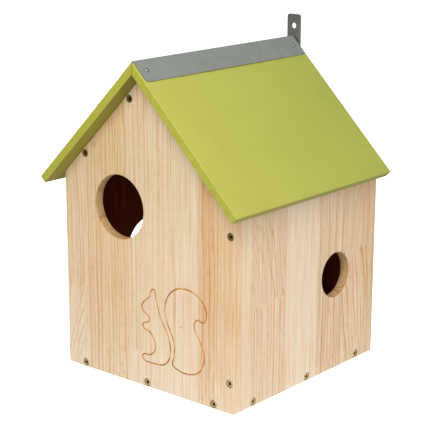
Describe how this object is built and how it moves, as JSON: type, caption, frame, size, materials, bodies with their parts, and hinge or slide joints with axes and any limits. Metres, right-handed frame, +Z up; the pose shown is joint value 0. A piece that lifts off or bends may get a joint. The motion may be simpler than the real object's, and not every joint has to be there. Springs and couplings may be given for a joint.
{
  "type": "squirrel nest box",
  "caption": "Gabled wooden nest box with round entrances, green painted roof under a folded metal ridge cap, a swing-out cleaning wall and a hanger strip at the back.",
  "frame": {"origin": "centre of the floor panel's underside, on the plane that the walls stand on", "axes": "+Z up, -Y out of the front face with the upper entrance, +Y out of the back where the hanger strip is, -X out of the cleaning door"},
  "size_m": [0.3006, 0.295, 0.411],
  "materials": {
    "pine": "planed, untreated, edge-glued strips",
    "green_paint": "satin paint on wood",
    "galvanised_sheet": "dull galvanised",
    "dark_zinc": "dull dark zinc",
    "yellow_zinc": "yellow passivated zinc",
    "steel": "plain"
  },
  "bodies": {
    "house": {"front_panel": "pine", "back_panel": "pine", "right_side_panel": "pine", "floor_panel": "pine", "roof_batten_left": "pine", "roof_batten_right": "pine", "roof_left": "green_paint", "roof_right": "green_paint", "ridge_cap": "galvanised_sheet", "hanger_strip": "dark_zinc", "front_screw_floor_left": "yellow_zinc", "front_screw_floor_middle": "yellow_zinc", "front_screw_floor_right": "yellow_zinc", "front_screw_edge_lower": "yellow_zinc", "front_screw_edge_upper": "yellow_zinc", "front_screw_slope_left_upper": "yellow_zinc", "front_screw_slope_left_lower": "yellow_zinc", "front_screw_slope_right_upper": "yellow_zinc", "front_screw_slope_right_lower": "yellow_zinc", "back_screw_floor_left": "yellow_zinc", "back_screw_floor_middle": "yellow_zinc", "back_screw_floor_right": "yellow_zinc", "back_screw_edge_lower": "yellow_zinc", "back_screw_edge_upper": "yellow_zinc", "back_screw_slope_left_upper": "yellow_zinc", "back_screw_slope_left_lower": "yellow_zinc", "back_screw_slope_right_upper": "yellow_zinc", "back_screw_slope_right_lower": "yellow_zinc", "side_screw_floor_front": "yellow_zinc", "side_screw_floor_middle": "yellow_zinc", "side_screw_floor_back": "yellow_zinc", "roof_screw_left_front": "yellow_zinc", "roof_screw_left_back": "yellow_zinc", "roof_screw_right_front": "yellow_zinc", "roof_screw_right_back": "yellow_zinc", "cap_nail_left_front": "galvanised_sheet", "cap_nail_left_back": "galvanised_sheet", "cap_nail_right_front": "galvanised_sheet", "cap_nail_right_back": "galvanised_sheet", "hanger_screw_lower": "dark_zinc", "hanger_screw_upper": "dark_zinc", "turn_button_screw": "yellow_zinc"},
    "door": {"cleaning_door": "pine", "door_pin_front": "steel", "door_pin_back": "steel"},
    "latch": {"turn_button": "dark_zinc"}
  },
  "joints": [
    {"name": "door_swing", "type": "hinge", "parent": "house", "child": "door", "pos_m": [-0.124, 0, 0.226], "axis": [0, 1, 0], "range_deg": [0, 60]},
    {"name": "latch_turn", "type": "hinge", "parent": "house", "child": "latch", "pos_m": [-0.13105, -0.129, 0.062], "axis": [1, 0, 0], "range_deg": [0, 90]}
  ]
}
